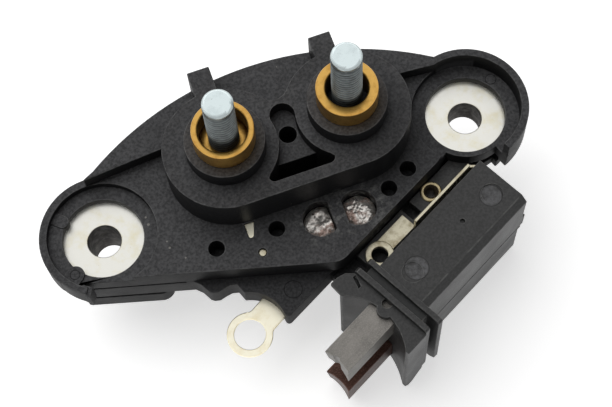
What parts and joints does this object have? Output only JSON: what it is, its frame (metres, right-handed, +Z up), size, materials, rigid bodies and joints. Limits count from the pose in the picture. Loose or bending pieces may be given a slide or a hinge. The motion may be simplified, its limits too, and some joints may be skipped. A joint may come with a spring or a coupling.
{
  "type": "alternator voltage regulator",
  "caption": "Moulded alternator regulator plate with mounting ears, threaded terminal studs and a side brush holder whose sprung carbon brushes slide in their guides.",
  "frame": {"origin": "axis of the left mounting hole at the top face of its mounting bush", "axes": "+X to the right mounting hole, +Y towards the arched back, +Z up along the terminal studs"},
  "size_m": [0.0848, 0.0553, 0.0496],
  "materials": {
    "upper_moulding": "matt black glass-filled plastic, fine grain, scuffed edges",
    "lower_moulding": "matt black glass-filled plastic",
    "holder_moulding": "matt black plastic, greyer on its sides",
    "tinned_bush": "dull tinned steel, cream white with faint yellow stains",
    "tinned_sheet": "dull tinned sheet, cream white",
    "tinned_rivet": "dull tinned rivet",
    "zinc_stud": "bright zinc plated thread, slightly blue",
    "brass_collar": "satin turned brass",
    "solder": "bright solder with brown flux",
    "grey_carbon": "fine warm grey carbon",
    "copper_graphite": "fine reddish brown copper graphite",
    "spring_wire": "bright spring wire",
    "copper_braid": "bare copper braid",
    "heat_sink": "plain rolled aluminium",
    "board": "off-white ceramic",
    "chip": "black moulded chip",
    "potting": "soft grey potting"
  },
  "bodies": {
    "regulator": {"stud_plate": "upper_moulding", "regulator_body": "lower_moulding", "regulator_cover": "lower_moulding", "heat_sink_plate": "heat_sink", "circuit_board": "board", "regulator_chip": "chip", "potting": "potting", "left_lead_frame": "tinned_sheet", "right_lead_frame": "tinned_sheet", "left_mount_bush": "tinned_bush", "right_mount_bush": "tinned_bush", "left_stud": "zinc_stud", "right_stud": "zinc_stud", "left_collar": "brass_collar", "right_collar": "brass_collar", "left_inner_seat": "brass_collar", "left_solder_joint": "solder", "right_solder_joint": "solder", "flat_pin": "tinned_sheet", "round_pin": "tinned_sheet", "ring_terminal": "tinned_sheet", "brush_holder": "holder_moulding", "hollow_rivet": "tinned_rivet", "brush_lead_strip": "tinned_sheet", "lower_brush_lead": "tinned_sheet", "upper_spring": "spring_wire", "lower_spring": "spring_wire", "upper_pigtail": "copper_braid", "lower_pigtail": "copper_braid"},
    "upper_brush": {"upper_brush": "grey_carbon"},
    "lower_brush": {"lower_brush": "copper_graphite"}
  },
  "joints": [
    {"name": "upper_brush_slide", "type": "slide", "parent": "regulator", "child": "upper_brush", "axis": [0.8862, 0.4633, 0], "range_m": [0, 0.0128], "stiffness_N_per_m": 250, "springref_m": -0.008, "deforming": ["upper_spring", "upper_pigtail"]},
    {"name": "lower_brush_slide", "type": "slide", "parent": "regulator", "child": "lower_brush", "axis": [0.8862, 0.4633, 0], "range_m": [0, 0.0128], "stiffness_N_per_m": 250, "springref_m": -0.008, "deforming": ["lower_spring", "lower_pigtail"]}
  ]
}
